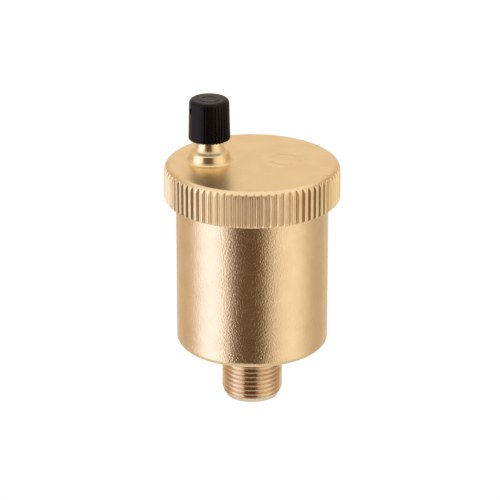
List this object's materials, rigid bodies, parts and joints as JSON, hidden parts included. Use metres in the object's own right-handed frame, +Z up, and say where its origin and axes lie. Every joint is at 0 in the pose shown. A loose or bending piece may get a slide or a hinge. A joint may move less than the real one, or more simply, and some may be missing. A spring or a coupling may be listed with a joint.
{
  "type": "automatic air vent",
  "caption": "Float-type automatic air vent: round body on a threaded stem, knurled screw-on cover, and an off-centre vent nozzle with a fluted cap.",
  "frame": {"origin": "centre of the stem's lower end, on the axis of the vent", "axes": "+Z up along the stem and body axis; the vent nozzle stands on the -X side"},
  "size_m": [0.048, 0.048, 0.0861],
  "materials": {
    "body_brass": "fine blasted satin",
    "cover_brass": "satin top, bright knurled edge",
    "seat_brass": "machined",
    "cap_plastic": "black, fine grain, fluted",
    "seal_rubber": "matt",
    "stainless": "drawn and stamped",
    "bracket_plastic": "moulded, glass filled",
    "float_plastic": "moulded, natural",
    "disc_fibre": "pressed fibre"
  },
  "bodies": {
    "vent_body": {"body_shell": "body_brass"},
    "gasket_ring": {"cover_gasket": "seal_rubber"},
    "cover_unit": {"cover": "cover_brass", "valve_seat": "seat_brass", "seat_oring": "seal_rubber", "valve_bracket": "bracket_plastic", "bracket_screws": "stainless", "pivot_pin": "stainless", "pivot_clips": "stainless", "valve_spring": "stainless"},
    "cap_disc": {"vent_disc": "disc_fibre"},
    "cap_unit": {"vent_cap": "cap_plastic"},
    "lever_arm": {"lever": "stainless"},
    "valve_unit": {"valve_pin": "seat_brass", "valve_seal": "seal_rubber", "pin_washer": "stainless"},
    "float_unit": {"float_cup": "float_plastic", "float_lid": "float_plastic", "float_hanger": "stainless", "hanger_pin": "stainless", "hanger_clips": "stainless"}
  },
  "joints": [
    {"name": "cover_lift", "type": "slide", "parent": "vent_body", "child": "gasket_ring", "axis": [0, 0, 1], "range_m": [0, 0.0045]},
    {"name": "cover_turn", "type": "hinge", "parent": "gasket_ring", "child": "cover_unit", "pos_m": [0, 0, 0.0655], "axis": [0, 0, 1], "range_deg": [0, 1080.5]},
    {"name": "cap_lift", "type": "slide", "parent": "cover_unit", "child": "cap_disc", "axis": [0, 0, 1], "range_m": [0, 0.003]},
    {"name": "cap_turn", "type": "hinge", "parent": "cap_disc", "child": "cap_unit", "pos_m": [-0.01175, 0, 0.0748], "axis": [0, 0, 1], "range_deg": [0, 1080.5]},
    {"name": "lever_tilt", "type": "hinge", "parent": "cover_unit", "child": "lever_arm", "pos_m": [-0.016, 0, 0.054], "axis": [0, -1, 0], "range_deg": [0, 15.4]},
    {"name": "valve_slide", "type": "slide", "parent": "cover_unit", "child": "valve_unit", "axis": [0, 0, 1], "range_m": [0, 0.00115], "deforming": ["valve_spring"]},
    {"name": "float_swing", "type": "hinge", "parent": "lever_arm", "child": "float_unit", "pos_m": [-0.00014, 0, 0.05186], "axis": [0, -1, 0], "range_deg": [-15.5, 0]}
  ],
  "couplings": [
    {"joint": "cover_turn", "follows": "cover_lift", "rad_per_m": 4188.8},
    {"joint": "cap_turn", "follows": "cap_lift", "rad_per_m": 6283.2},
    {"joint": "valve_slide", "follows": "lever_tilt", "m_per_rad": 0.0042758},
    {"joint": "float_swing", "follows": "lever_tilt", "ratio": -1}
  ]
}
